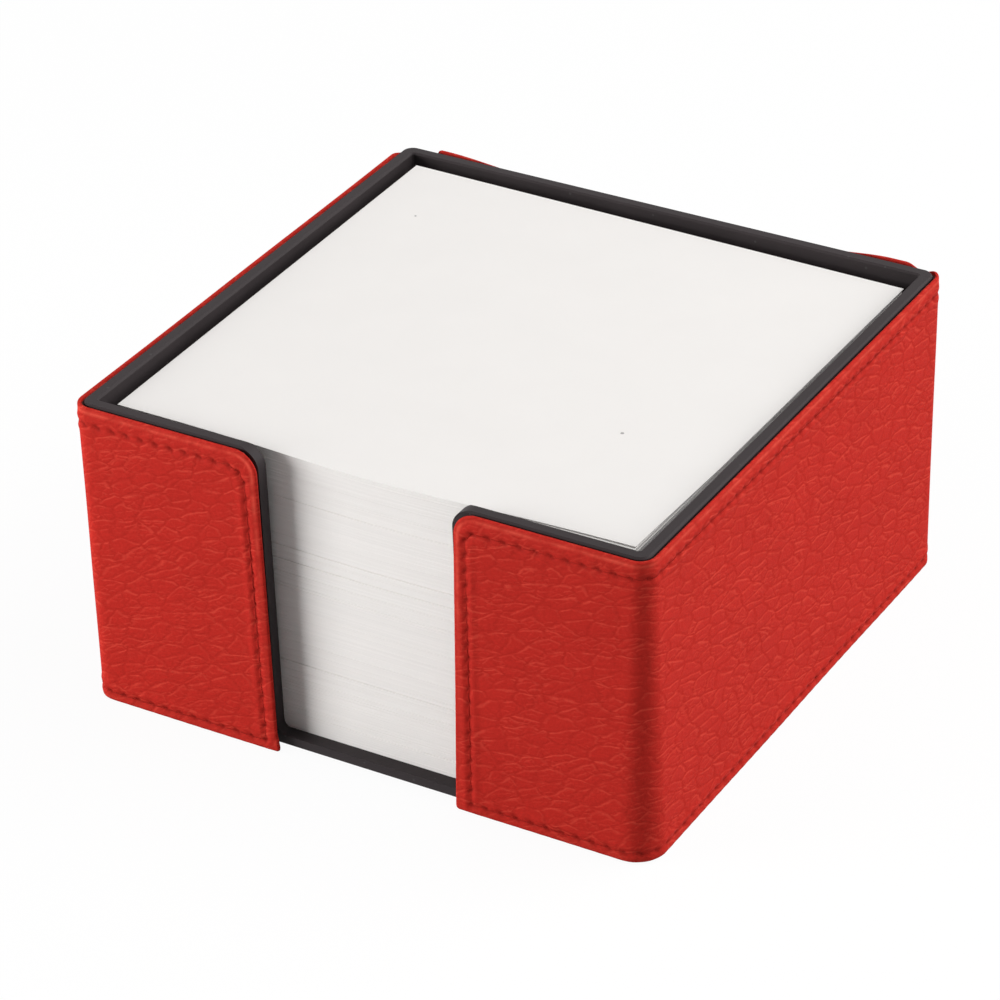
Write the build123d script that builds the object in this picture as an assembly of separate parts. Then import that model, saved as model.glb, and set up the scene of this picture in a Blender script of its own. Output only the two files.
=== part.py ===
from build123d import *
import math
import os

# A desk box for loose note paper: a moulded tray with a finger notch in its front wall, a stitched
# leather strip glued round its outside, and a pile of square sheets. Millimetres, +Z up, notch at -Y,
# origin on the desk under the middle of the box.

# Paper
SHEET_SIZE = 90.0
SHEET_THICKNESS = 0.1
PILE_HEIGHT = 50.0
PILE_SHIFT = -0.3
SHEAF_COUNT = 9
SHEAF_STRAY = 0.3
SHEAF_TURN = 0.2
SHEAF_PHASE_X = 2.4
SHEAF_PHASE_Y = 4.1
SHEAF_PHASE_TURN = 3.1
TOP_SHEET_TURN = -0.4
TOP_SHEET_SHIFT = (-0.4, 0.2)
PAPER_CLEARANCE = 0.25

# Tray
RIM_HEIGHT = 53.9
WALL = 2.1
FLOOR = 1.6
DRAFT_ANGLE = 1.3
TRAY_CORNER = 0.8
BOTTOM_ROUND = 3.6
CAVITY_CORNER = 0.4
RIM_BREAK = 0.3
RIM_BREAK_ANGLE = 45.0

# Finger notch in the tray, with its lip at the floor
NOTCH_WIDTH = 33.8
NOTCH_SHOULDER = 3.5
NOTCH_FOOT = 1.6
LIP_CORNER = 4.0

# Feet under the floor
FOOT_DIAMETER = 10.0
FOOT_PROUD = 0.6
FOOT_RECESS = 0.5
FOOT_RECESS_CLEARANCE = 0.1
FOOT_EDGE_INSET = 14.0
FOOT_BREAK = 0.2

# Leather strip: skin, lining and the glue behind them
SKIN_THICKNESS = 0.55
BACKING_THICKNESS = 0.35
GLUE_AT_RIM = 0.1
SKIN_LIFT = 0.2
SKIN_BELOW_RIM = 0.1
SKIN_EDGE_BREAK = 0.2
BACKING_INSET = 1.0
FLAP_GAP = 32.3
FLAP_LEAN = 1.1
FLAP_SHIFT = 0.45
FLAP_SHOULDER = 3.8
FLAP_HEEL = 1.0
GLUE_BAND = 14.0
GLUE_BELOW_RIM = 3.0
GLUE_END_INSET = 5.0

# Seam
SEAM_INSET = 2.7
GROOVE_WIDTH = 0.8
GROOVE_DEPTH = 0.25
THREAD_WIDTH = 0.5
THREAD_PROUD = 0.1

# Worked out from the sizes above
OVERSHOOT = 10.0
TOUCH = 1e-6
LEAN = math.tan(math.radians(DRAFT_ANGLE))
FLOOR_BASE = FOOT_PROUD
FLOOR_TOP = FLOOR_BASE + FLOOR
PILE_REACH = SHEAF_STRAY + abs(PILE_SHIFT) + SHEET_SIZE / 2 * math.radians(SHEAF_TURN)
CAVITY_HALF = SHEET_SIZE / 2 + PILE_REACH + PAPER_CLEARANCE
TRAY_HALF_BASE = CAVITY_HALF + WALL - FLOOR * LEAN
TRAY_HALF_RIM = CAVITY_HALF + WALL + (RIM_HEIGHT - FLOOR_TOP) * LEAN
TRAY_CORNER_RIM = TRAY_CORNER + (RIM_HEIGHT - FLOOR_BASE) * LEAN
RIM_BREAK_START = RIM_HEIGHT - RIM_BREAK
NOTCH_HALF = NOTCH_WIDTH / 2
BACKING_HALF_IN = TRAY_HALF_RIM + GLUE_AT_RIM
BACKING_HALF_OUT = BACKING_HALF_IN + BACKING_THICKNESS
SKIN_HALF = BACKING_HALF_OUT + SKIN_THICKNESS
CORNER_CENTRE = TRAY_HALF_RIM - TRAY_CORNER_RIM
SKIN_BASE = SKIN_LIFT
SKIN_TOP = RIM_HEIGHT - SKIN_BELOW_RIM
FLAP_HALF_BASE = FLAP_GAP / 2
FLAP_SLOPE = math.tan(math.radians(FLAP_LEAN))
FLAP_HALF_TOP = FLAP_HALF_BASE + (SKIN_TOP - SKIN_BASE) * FLAP_SLOPE
PILE_TOP = FLOOR_TOP + PILE_HEIGHT
FOOT_PLACE = TRAY_HALF_BASE - FOOT_EDGE_INSET


def rounded_square(half, corner):
    """A square face of the given half width, with rounded corners."""
    return RectangleRounded(2 * half, 2 * half, corner)


def square_band(half_out, half_in, base, top):
    """A ring of wall, square in plan, whose rounded corners share the strip's corner centres."""
    outside = rounded_square(half_out, half_out - CORNER_CENTRE)
    inside = rounded_square(half_in, half_in - CORNER_CENTRE)
    return extrude(Pos(0, 0, base) * (outside - inside), top - base)


def leaning_block(half, corner, base, top):
    """A rounded square that widens upwards by the mould's draft, and its corners with it."""
    return extrude(Pos(0, 0, base) * rounded_square(half, corner), top - base, taper=-DRAFT_ANGLE)


def hollow_block(half, corner, base, top):
    """A rounded square that widens upwards by the mould's draft and keeps its corners tight."""
    lower = Pos(0, 0, base) * rounded_square(half, corner)
    upper = Pos(0, 0, top) * rounded_square(half + (top - base) * LEAN, corner)
    return loft([lower, upper], ruled=True)


def broken_edge(half, corner, turn):
    """The last stretch up to the rim, drawn in by a turn above zero, else spread."""
    return extrude(Pos(0, 0, RIM_BREAK_START) * rounded_square(half, corner), RIM_BREAK, taper=turn)


def bottom_waste():
    """What the bottom round takes off the right side, along the whole side."""
    reach = 2 * BOTTOM_ROUND
    corner = (TRAY_HALF_BASE, FLOOR_BASE)
    up_the_wall = (TRAY_HALF_BASE + reach * LEAN, FLOOR_BASE + reach)
    under_the_floor = (TRAY_HALF_BASE - reach, FLOOR_BASE)
    section = make_face(Polyline(corner, up_the_wall, under_the_floor, close=True))
    rounded = fillet(section.vertices().sort_by_distance((*corner, 0))[0], BOTTOM_ROUND)
    side = Plane(origin=(0, -SKIN_HALF, 0), x_dir=(1, 0, 0), z_dir=(0, -1, 0))
    return extrude(side * (section - rounded), -2 * SKIN_HALF)


def front_prism(profile):
    """Carries a profile, drawn in X and Z, through the front of the box along Y."""
    front = Plane(origin=(0, -SKIN_HALF - OVERSHOOT, 0), x_dir=(1, 0, 0), z_dir=(0, -1, 0))
    return extrude(front * profile, -(SKIN_HALF + OVERSHOOT - CAVITY_HALF + 2 * WALL))


def notch_profile():
    """The tray's notch: upright sides, rounded at the foot, rolling out into the rim."""
    slot = Pos(0, (FLOOR_TOP + RIM_HEIGHT) / 2) * Rectangle(NOTCH_WIDTH, RIM_HEIGHT - FLOOR_TOP)
    slot = fillet(slot.vertices().group_by(Axis.Y)[0], NOTCH_FOOT)
    above = Pos(0, RIM_HEIGHT + OVERSHOOT / 2) * Rectangle(2 * TRAY_HALF_BASE, OVERSHOOT)
    open_slot = slot + above
    at_rim = [v for v in open_slot.vertices() if abs(v.Y - RIM_HEIGHT) < TOUCH]
    return fillet([v for v in at_rim if abs(v.X) < NOTCH_HALF + TOUCH], NOTCH_SHOULDER)


def lip_profile():
    """The lip at the notch's foot: as wide as the notch, with large rounds at its two lower corners."""
    height = FLOOR + LIP_CORNER
    lip = Pos(0, FLOOR_BASE + height / 2) * Rectangle(NOTCH_WIDTH, height)
    return fillet(lip.vertices().group_by(Axis.Y)[0], LIP_CORNER)


def flap_gap_profile(inset=0.0):
    """The gap between the strip's two ends, a little wider at the top, with rounded flap corners."""
    base = SKIN_BASE + inset
    top = SKIN_TOP - inset
    half_base = FLAP_HALF_BASE + inset + inset * FLAP_SLOPE
    half_top = FLAP_HALF_TOP + inset - inset * FLAP_SLOPE
    wide = half_top + 2 * FLAP_SHOULDER
    outline = [
        (-wide, base - OVERSHOOT), (wide, base - OVERSHOOT), (wide, base), (half_base, base),
        (half_top, top), (wide, top), (wide, top + OVERSHOOT), (-wide, top + OVERSHOOT),
        (-wide, top), (-half_top, top), (-half_base, base), (-wide, base),
    ]
    gap = make_face(Polyline(*outline, close=True))
    inner = [v for v in gap.vertices() if abs(v.X) < wide - TOUCH]
    gap = fillet([v for v in inner if abs(v.Y - top) < TOUCH], max(FLAP_SHOULDER - inset, FLAP_HEEL))
    heels = [v for v in gap.vertices() if abs(v.Y - base) < TOUCH and abs(v.X) < half_base + TOUCH]
    return Pos(FLAP_SHIFT, 0) * fillet(heels, FLAP_HEEL)


def make_tray():
    """The moulding: leaning walls and floor in one, cut by the notch, with recesses for the feet."""
    growth = (RIM_BREAK_START - FLOOR_BASE) * LEAN
    block = leaning_block(TRAY_HALF_BASE, TRAY_CORNER, FLOOR_BASE, RIM_BREAK_START)
    block = block + broken_edge(TRAY_HALF_BASE + growth, TRAY_CORNER + growth, RIM_BREAK_ANGLE)
    lip = block & front_prism(lip_profile())
    body = block - [Rot(0, 0, turn) * bottom_waste() for turn in (0, 90, 180, 270)]
    mouth_half = CAVITY_HALF + (RIM_BREAK_START - FLOOR_TOP) * LEAN
    cavity = hollow_block(CAVITY_HALF, CAVITY_CORNER, FLOOR_TOP, RIM_BREAK_START)
    cavity = cavity + broken_edge(mouth_half, CAVITY_CORNER, -RIM_BREAK_ANGLE)
    shell = body - cavity
    shell = shell + (lip - cavity)
    shell = shell - front_prism(notch_profile())
    recess = Cylinder(
        FOOT_DIAMETER / 2 + FOOT_RECESS_CLEARANCE, FOOT_RECESS, align=(Align.CENTER, Align.CENTER, Align.MIN)
    )
    return shell - [Pos(x, y, FLOOR_BASE) * recess for x, y in foot_places().values()]


def foot_places():
    """Where each foot sits under the floor, by name."""
    sides = {"left": -FOOT_PLACE, "right": FOOT_PLACE}
    ends = {"front": -FOOT_PLACE, "back": FOOT_PLACE}
    return {f"foot_{end}_{side}": (x, y) for end, y in ends.items() for side, x in sides.items()}


def make_foot(x, y):
    """A round soft pad, sunk in its recess and standing proud of the floor."""
    pad = Cylinder(FOOT_DIAMETER / 2, FOOT_PROUD + FOOT_RECESS, align=(Align.CENTER, Align.CENTER, Align.MIN))
    return Pos(x, y, 0) * chamfer(pad.edges().group_by(Axis.Z)[0], FOOT_BREAK)


def seam_ribbon(half_out, half_in, width):
    """A flat ribbon along the seam: two rows round the strip, joined by a leg near each of its ends."""
    low = SKIN_BASE + SEAM_INSET
    high = SKIN_TOP - SEAM_INSET
    leg_low = FLAP_HALF_BASE + SEAM_INSET * (1 + FLAP_SLOPE)
    leg_high = FLAP_HALF_TOP + SEAM_INSET * (1 - FLAP_SLOPE)
    reach = width / 2

    def between_legs(offset):
        bottom = leg_low + offset - reach * FLAP_SLOPE
        top = leg_high + offset + reach * FLAP_SLOPE
        points = [(-bottom, low - reach), (bottom, low - reach), (top, high + reach), (-top, high + reach)]
        return Pos(FLAP_SHIFT, 0) * make_face(Polyline(*points, close=True))

    rows = [square_band(half_out, half_in, level - reach, level + reach) for level in (low, high)]
    front = extrude(Rectangle(2 * half_out, half_out - half_in), RIM_HEIGHT)
    front = Pos(0, -(half_out + half_in) / 2, 0) * front
    legs = front & front_prism(between_legs(reach) - between_legs(-reach))
    return (rows[0] + rows[1]) - front_prism(between_legs(0)) + legs


def make_cover_skin():
    """The leather itself: one strip, rounded at its edges, grooved where the seam pulls it in."""
    strip = square_band(SKIN_HALF, BACKING_HALF_OUT, SKIN_BASE, SKIN_TOP)
    levels = strip.faces().sort_by(Axis.Z)
    strip = chamfer(levels[0].outer_wire().edges() + levels[-1].outer_wire().edges(), SKIN_EDGE_BREAK)
    strip = strip - front_prism(flap_gap_profile())
    return strip - seam_ribbon(SKIN_HALF + OVERSHOOT, SKIN_HALF - GROOVE_DEPTH, GROOVE_WIDTH)


def make_cover_backing():
    """The lining behind the leather, held back from the strip's edges."""
    band = square_band(BACKING_HALF_OUT, BACKING_HALF_IN, SKIN_BASE + BACKING_INSET, SKIN_TOP - BACKING_INSET)
    return band - front_prism(flap_gap_profile(BACKING_INSET))


def make_seam_thread():
    """The thread, lying on the bottom of its groove."""
    return seam_ribbon(SKIN_HALF + THREAD_PROUD, SKIN_HALF - GROOVE_DEPTH, THREAD_WIDTH)


def make_adhesives():
    """Glue strips near the rim, each filling the wedge between a leaning wall and the lining."""
    top = RIM_HEIGHT - GLUE_BELOW_RIM
    lining_face = Rectangle(2 * BACKING_HALF_IN, 2 * BACKING_HALF_IN)
    inside = extrude(Pos(0, 0, top - GLUE_BAND) * lining_face, GLUE_BAND)
    wedge = inside - leaning_block(TRAY_HALF_BASE, TRAY_CORNER, FLOOR_BASE, RIM_HEIGHT)
    long_run = 2 * (CORNER_CENTRE - GLUE_END_INSET)
    flap_start = FLAP_HALF_TOP + abs(FLAP_SHIFT) + GLUE_END_INSET
    flap_run = long_run / 2 - flap_start
    flap_middle = flap_start + flap_run / 2
    middle = TRAY_HALF_RIM
    windows = {
        "adhesive_front_left": (-flap_middle, -middle, flap_run, 2 * WALL),
        "adhesive_front_right": (flap_middle, -middle, flap_run, 2 * WALL),
        "adhesive_left": (-middle, 0, 2 * WALL, long_run),
        "adhesive_right": (middle, 0, 2 * WALL, long_run),
        "adhesive_back": (0, middle, long_run, 2 * WALL),
    }
    return {
        name: wedge & Pos(x, y, top - GLUE_BAND / 2) * Box(width, depth, GLUE_BAND)
        for name, (x, y, width, depth) in windows.items()
    }


def make_paper_stack():
    """The pile as sheaves, each lying a little askew on the one below."""
    thickness = PILE_HEIGHT / SHEAF_COUNT
    sheaf = Box(SHEET_SIZE, SHEET_SIZE, thickness, align=(Align.CENTER, Align.CENTER, Align.MIN))
    pile = []
    for index in range(SHEAF_COUNT):
        x = SHEAF_STRAY * math.sin(SHEAF_PHASE_X * index)
        y = PILE_SHIFT + SHEAF_STRAY * math.cos(SHEAF_PHASE_Y * index)
        turn = SHEAF_TURN * math.sin(SHEAF_PHASE_TURN * index)
        pile.append(Pos(x, y, FLOOR_TOP + index * thickness) * Rot(0, 0, turn) * sheaf)
    return Compound(children=pile)


def make_top_sheet():
    """The sheet that is taken next, lying loose on the pile."""
    sheet = Box(SHEET_SIZE, SHEET_SIZE, SHEET_THICKNESS, align=(Align.CENTER, Align.CENTER, Align.MIN))
    return Pos(*TOP_SHEET_SHIFT, PILE_TOP) * Rot(0, 0, TOP_SHEET_TURN) * sheet


def make_pieces():
    """Every piece of the box, by name."""
    pieces = {
        "tray": make_tray(),
        "cover_skin": make_cover_skin(),
        "cover_backing": make_cover_backing(),
        "seam_thread": make_seam_thread(),
        "paper_stack": make_paper_stack(),
        "top_sheet": make_top_sheet(),
    }
    pieces.update(make_adhesives())
    pieces.update({name: make_foot(x, y) for name, (x, y) in foot_places().items()})
    return pieces


os.makedirs("parts", exist_ok=True)
for name, piece in make_pieces().items():
    export_step(piece, f"parts/{name}.step")
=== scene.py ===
"""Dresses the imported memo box: a stitched red leather strip round a black moulded tray full of note paper."""

import logging
import math
import random
from abc import ABC, abstractmethod
from dataclasses import asdict, dataclass, field
from enum import Enum
from typing import Any, Optional, Sequence, Union

import bpy
from mathutils import Matrix, Vector, kdtree, noise


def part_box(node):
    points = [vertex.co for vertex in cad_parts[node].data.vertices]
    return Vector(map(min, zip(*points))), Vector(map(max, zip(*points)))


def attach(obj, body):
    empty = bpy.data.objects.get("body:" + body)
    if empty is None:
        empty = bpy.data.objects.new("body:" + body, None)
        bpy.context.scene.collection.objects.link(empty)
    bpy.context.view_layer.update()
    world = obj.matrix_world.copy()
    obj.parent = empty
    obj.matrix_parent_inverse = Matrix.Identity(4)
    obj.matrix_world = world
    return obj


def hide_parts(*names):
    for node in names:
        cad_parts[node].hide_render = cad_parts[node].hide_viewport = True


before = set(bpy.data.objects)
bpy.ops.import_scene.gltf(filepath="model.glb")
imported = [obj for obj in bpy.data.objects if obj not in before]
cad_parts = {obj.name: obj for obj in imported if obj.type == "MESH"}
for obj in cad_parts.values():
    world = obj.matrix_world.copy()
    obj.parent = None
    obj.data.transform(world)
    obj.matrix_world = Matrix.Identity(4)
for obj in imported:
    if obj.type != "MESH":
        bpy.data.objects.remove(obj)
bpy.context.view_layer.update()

log = logging.getLogger("memo_box")

MM = 0.001

Colour = tuple[float, float, float, float]
Flat = tuple[float, float]
Socket = bpy.types.NodeSocket
Feed = Union[float, Socket]
Inputs = dict[Union[int, str], Any]

WHITE: Colour = (1.0, 1.0, 1.0, 1.0)


class Slot(Enum):
    """The names of the record's material slots for the scene's own pieces."""

    LEATHER = "red_leather"
    BOARD = "lining_board"
    THREAD = "red_thread"
    PAPER = "note_paper"


class Body(Enum):
    """The bodies that a piece can ride on."""

    BOX = "box"
    PILE = "paper_stack"
    SHEET = "top_sheet"


class Shading(Enum):
    """How the faces of a mesh meet."""

    SMOOTH = True
    FACETED = False


def smooth_step(low: float, high: float, value: float) -> float:
    """Rises smoothly from 0, where the value is low, to 1, where it is high."""
    share = min(max((value - low) / (high - low), 0.0), 1.0)
    return share * share * (3.0 - 2.0 * share)


def hump(middle: float, half_width: float, value: float) -> float:
    """Gives a smooth hump of height 1 at the middle, which has fallen to 0.37 at half_width."""
    return math.exp(-(((value - middle) / half_width) ** 2))


def compass(azimuth: float, elevation: float) -> Vector:
    """Points from the box towards a place round it.

    Args:
        azimuth: degrees from the notch's side towards the right side.
        elevation: degrees above the desk.

    Returns:
        A unit vector.
    """
    around = math.radians(azimuth)
    above = math.radians(elevation)
    level = math.cos(above)
    return Vector((math.sin(around) * level, -math.cos(around) * level, math.sin(above)))


def in_turn(ring: list[Any]) -> list[tuple[Any, Any]]:
    """Pairs each item of a closed ring with the item that follows it."""
    return list(zip(ring, ring[1:] + ring[:1]))


def grid_faces(columns: int, rows: int, first: int = 0) -> list[list[int]]:
    """Lists the faces of a grid whose points are numbered up each column in turn.

    Args:
        columns: how many columns of points it has.
        rows: how many points a column has.
        first: the number of its first point.

    Returns:
        The four corners of each face.
    """
    faces: list[list[int]] = []
    for column in range(columns - 1):
        for row in range(rows - 1):
            corner = first + column * rows + row
            faces.append([corner, corner + rows, corner + rows + 1, corner + 1])
    return faces


def grid_rim(columns: int, rows: int) -> list[int]:
    """Lists the points round the edge of such a grid, in order.

    Args:
        columns: how many columns of points it has.
        rows: how many points a column has.

    Returns:
        The points' numbers.
    """
    rim = [column * rows for column in range(columns - 1)]
    rim += [(columns - 1) * rows + row for row in range(rows - 1)]
    rim += [column * rows + rows - 1 for column in range(columns - 1, 0, -1)]
    return rim + list(range(rows - 1, 0, -1))


def sheet_faces(columns: int, rows: int, first: int = 0) -> list[list[int]]:
    """Lists the faces of a closed sheet: a grid, a second grid that follows it, and the edge between.

    Args:
        columns: how many columns of points each grid has.
        rows: how many points a column has.
        first: the number of the first grid's first point.

    Returns:
        The corners of each face.
    """
    near = grid_faces(columns, rows, first)
    behind = columns * rows
    faces = near + [[behind + number for number in face[:1] + face[:0:-1]] for face in near]
    rim = [first + number for number in grid_rim(columns, rows)]
    for number, following in in_turn(rim):
        faces.append([following, number, behind + number, behind + following])
    return faces


def make_piece(
    name: str,
    points: Sequence[Sequence[float]],
    faces: Sequence[Sequence[int]],
    material: bpy.types.Material,
    shading: Shading = Shading.SMOOTH,
) -> bpy.types.Object:
    """Makes a mesh object from points and faces.

    Args:
        name: the object's name.
        points: its vertices, in metres.
        faces: the vertices of each face.
        material: its material.
        shading: whether its faces shade smoothly.

    Returns:
        The object, linked to the scene.
    """
    mesh = bpy.data.meshes.new(name)
    mesh.from_pydata([tuple(point) for point in points], [], [tuple(face) for face in faces])
    mesh.polygons.foreach_set("use_smooth", [shading.value] * len(mesh.polygons))
    mesh.materials.append(material)
    mesh.update()
    piece = bpy.data.objects.new(name, mesh)
    bpy.context.scene.collection.objects.link(piece)
    return piece


def note_values(piece: bpy.types.Object, name: str, values: Sequence[float]) -> None:
    """Keeps one number for each vertex of a piece, for its material to read."""
    attribute = piece.data.attributes.new(name, "FLOAT", "POINT")
    attribute.data.foreach_set("value", list(values))


def note_flat_places(piece: bpy.types.Object, name: str, places: Sequence[Sequence[float]]) -> None:
    """Keeps a flat place for each vertex of a piece as a UV map.

    Args:
        piece: the object.
        name: the map's name.
        places: the flat place of each vertex.
    """
    layer = piece.data.uv_layers.new(name=name)
    corners: list[float] = []
    for loop in piece.data.loops:
        corners.extend(places[loop.vertex_index])
    layer.data.foreach_set("uv", corners)


def join_body(piece: bpy.types.Object, body: Body, slot: Slot, *nodes: str) -> None:
    """Makes a piece ride on a body and lets it stand for CAD nodes.

    Args:
        piece: the object.
        body: the body it moves with.
        slot: not used.
        nodes: the CAD nodes that it stands for.
    """
    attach(piece, body.value)
    if nodes:
        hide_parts(*nodes)
    log.info("%s rides on %s with %d vertices", piece.name, body.value, len(piece.data.vertices))


def dress_node(name: str, material: bpy.types.Material) -> None:
    """Gives a CAD node that stays in view its material.

    Args:
        name: the node's name.
        material: the material.
    """
    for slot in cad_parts[name].material_slots:
        slot.material = material
    log.info("%s is the packed solid in %s", name, material.name)


class NodeBench:
    """Places nodes on one node tree and wires them."""

    def __init__(self, tree: bpy.types.NodeTree) -> None:
        """Keeps the tree that the nodes go on."""
        self.tree = tree

    def feed(self, node: bpy.types.Node, inputs: Inputs) -> None:
        """Wires sockets to a node's inputs and sets its other inputs to plain values.

        Args:
            node: the node.
            inputs: a socket or a plain value for each input, by its name or number.
        """
        for place, value in inputs.items():
            if isinstance(value, Socket):
                self.tree.links.new(value, node.inputs[place])
            else:
                node.inputs[place].default_value = value

    def add(self, kind: str, inputs: Optional[Inputs] = None, **settings: Any) -> bpy.types.Node:
        """Adds a node.

        Args:
            kind: Blender's name for the type of node.
            inputs: a socket or a plain value for each input, by its name or number.
            settings: the node's own settings.

        Returns:
            The new node.
        """
        node = self.tree.nodes.new(kind)
        for name, value in settings.items():
            setattr(node, name, value)
        self.feed(node, inputs or {})
        return node

    def sum_up(self, operation: str, *terms: Feed) -> Socket:
        """Adds a Math node on numbers or sockets and gives its output."""
        return self.add("ShaderNodeMath", dict(enumerate(terms)), operation=operation).outputs[0]

    def move(self, operation: str, inputs: Inputs) -> Socket:
        """Adds a Vector Math node and gives its output."""
        return self.add("ShaderNodeVectorMath", inputs, operation=operation).outputs[0]

    def ramp(self, source: Socket, low: Feed, high: Feed) -> Socket:
        """Adds a smooth rise from 0, where the source is low, to 1, where it is high."""
        inputs = {"Value": source, "From Min": low, "From Max": high}
        return self.add("ShaderNodeMapRange", inputs, interpolation_type="SMOOTHSTEP").outputs["Result"]

    def blend(self, share: Socket, first: Any, second: Any) -> Socket:
        """Mixes two colours, or sockets that hold them, by the share of the second."""
        return self.add("ShaderNodeMix", {0: share, 6: first, 7: second}, data_type="RGBA").outputs[2]

    def shade(self, colour: Socket, value: Socket) -> Socket:
        """Multiplies a colour's brightness by a value."""
        return self.add("ShaderNodeHueSaturation", {"Color": colour, "Value": value}).outputs["Color"]

    def attribute(self, name: str) -> Socket:
        """Reads a number that the mesh keeps for each vertex."""
        return self.add("ShaderNodeAttribute", attribute_name=name).outputs["Fac"]


class SharedEffect(ABC):
    """An effect that several finishes use, kept as one shader node group."""

    name = ""
    takes: tuple[str, ...] = ()
    gives: tuple[str, ...] = ()

    def group(self) -> bpy.types.NodeTree:
        """Gives the node group, built the first time.

        Returns:
            The group.
        """
        found = bpy.data.node_groups.get(self.name)
        if found:
            return found
        tree = bpy.data.node_groups.new(self.name, "ShaderNodeTree")
        tree.interface.new_socket(name="Vector", in_out="INPUT", socket_type="NodeSocketVector")
        for name in self.takes:
            tree.interface.new_socket(name=name, in_out="INPUT", socket_type="NodeSocketFloat")
        for name in self.gives:
            tree.interface.new_socket(name=name, in_out="OUTPUT", socket_type="NodeSocketFloat")
        bench = NodeBench(tree)
        start = bench.add("NodeGroupInput")
        bench.add("NodeGroupOutput", dict(zip(self.gives, self.wire(bench, start.outputs))))
        return tree

    @abstractmethod
    def wire(self, bench: NodeBench, given: Any) -> list[Socket]:
        """Builds the inside of the group.

        Args:
            bench: places nodes in the group.
            given: the sockets that hold the group's inputs, by name.

        Returns:
            The sockets that the group gives out, in order.
        """

    def place(self, bench: NodeBench, places: Socket, **values: float) -> list[Socket]:
        """Places the group in a material.

        Args:
            bench: places nodes in the material.
            places: where on the surface the effect is read.
            values: the group's other inputs, by name.

        Returns:
            The group's outputs, in order.
        """
        inputs: Inputs = {name.capitalize(): value for name, value in values.items()}
        inputs["Vector"] = places
        node = bench.add("ShaderNodeGroup", inputs, node_tree=self.group())
        return [node.outputs[name] for name in self.gives]


class BroadTone(SharedEffect):
    """Slow changes of brightness over a surface, about 1."""

    name = "broad_tone"
    takes = ("Scale", "Spread")
    gives = ("Tone",)

    def wire(self, bench: NodeBench, given: Any) -> list[Socket]:
        """Builds a soft noise that is scaled to the spread and centred on 1.

        Args:
            bench: places nodes in the group.
            given: the group's inputs.

        Returns:
            The group's outputs.
        """
        cloud = bench.add(
            "ShaderNodeTexNoise",
            {"Vector": given["Vector"], "Scale": given["Scale"], "Detail": 3.0, "Roughness": 0.55},
        )
        centred = bench.sum_up("SUBTRACT", cloud.outputs[0], 0.5)
        return [bench.sum_up("ADD", bench.sum_up("MULTIPLY", centred, given["Spread"]), 1.0)]


class FineTooth(SharedEffect):
    """The fine roughness of a moulded, cut or fibrous surface."""

    name = "fine_tooth"
    takes = ("Scale", "Depth")
    gives = ("Height",)

    def wire(self, bench: NodeBench, given: Any) -> list[Socket]:
        """Builds a fine noise that is scaled to the depth.

        Args:
            bench: places nodes in the group.
            given: the group's inputs.

        Returns:
            The group's outputs.
        """
        grit = bench.add(
            "ShaderNodeTexNoise",
            {"Vector": given["Vector"], "Scale": given["Scale"], "Detail": 4.0, "Roughness": 0.65},
        )
        return [bench.sum_up("MULTIPLY", grit.outputs[0], given["Depth"])]


class Specks(SharedEffect):
    """Scattered specks, such as lint, dust or a fibre in paper."""

    name = "specks"
    takes = ("Scale", "Size", "Share")
    gives = ("Mask",)

    def wire(self, bench: NodeBench, given: Any) -> list[Socket]:
        """Builds round spots in a chosen share of the cells of a cell pattern.

        Args:
            bench: places nodes in the group.
            given: the group's inputs.

        Returns:
            The group's outputs.
        """
        cells = bench.add("ShaderNodeTexVoronoi", {"Vector": given["Vector"], "Scale": given["Scale"]})
        spot = bench.sum_up("LESS_THAN", cells.outputs["Distance"], given["Size"])
        parts = bench.add("ShaderNodeSeparateColor", {0: cells.outputs["Color"]})
        chosen = bench.sum_up("LESS_THAN", parts.outputs[0], given["Share"])
        return [bench.sum_up("MULTIPLY", spot, chosen)]


class CreaseNet(SharedEffect):
    """The net of shallow creases between the plates of a grain, and each crease's upward-facing lower lip,
    which is used for a painted highlight.
    """

    name = "crease_net"
    takes = ("Scale", "Width", "Waver", "Step")
    gives = ("Crease", "Lip Highlight")
    waver_pace = 0.7

    def wire(self, bench: NodeBench, given: Any) -> list[Socket]:
        """Builds the edges of a cell pattern whose places waver, read here and a step higher.

        Args:
            bench: places nodes in the group.
            given: the group's inputs.

        Returns:
            The group's outputs.
        """
        slower = bench.sum_up("MULTIPLY", given["Scale"], self.waver_pace)
        waver = bench.add(
            "ShaderNodeTexNoise", {"Vector": given["Vector"], "Scale": slower, "Detail": 2.5}
        )
        centred = bench.move("SUBTRACT", {0: waver.outputs["Color"], 1: (0.5, 0.5, 0.5)})
        shift = bench.move("SCALE", {0: centred, "Scale": given["Waver"]})
        here = bench.move("ADD", {0: given["Vector"], 1: shift})
        up = bench.add("ShaderNodeCombineXYZ", {"Y": given["Step"]}).outputs[0]
        higher = bench.move("ADD", {0: here, 1: up})
        depths = []
        for places in (here, higher):
            cells = bench.add(
                "ShaderNodeTexVoronoi",
                {"Vector": places, "Scale": given["Scale"]},
                voronoi_dimensions="2D",
                feature="DISTANCE_TO_EDGE",
            )
            plate = bench.ramp(cells.outputs["Distance"], 0.0, given["Width"])
            depths.append(bench.sum_up("SUBTRACT", 1.0, plate))
        # The lip is where the crease is deeper a step higher up, so the surface faces up there; it is used as a
        # painted highlight, as if lit from above.
        gain = bench.sum_up("SUBTRACT", depths[1], depths[0])
        return [depths[0], bench.sum_up("MAXIMUM", gain, 0.0)]


BROAD_TONE = BroadTone()
FINE_TOOTH = FineTooth()
SPECKS = Specks()
CREASE_NET = CreaseNet()


def new_material(name: str) -> tuple[bpy.types.Material, NodeBench, bpy.types.Node]:
    """Starts a material.

    Args:
        name: the material's name.

    Returns:
        The material, a bench for its nodes and its Principled BSDF.
    """
    material = bpy.data.materials.new(name)
    material.use_nodes = True
    shader = material.node_tree.nodes["Principled BSDF"]
    return material, NodeBench(material.node_tree), shader


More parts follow.
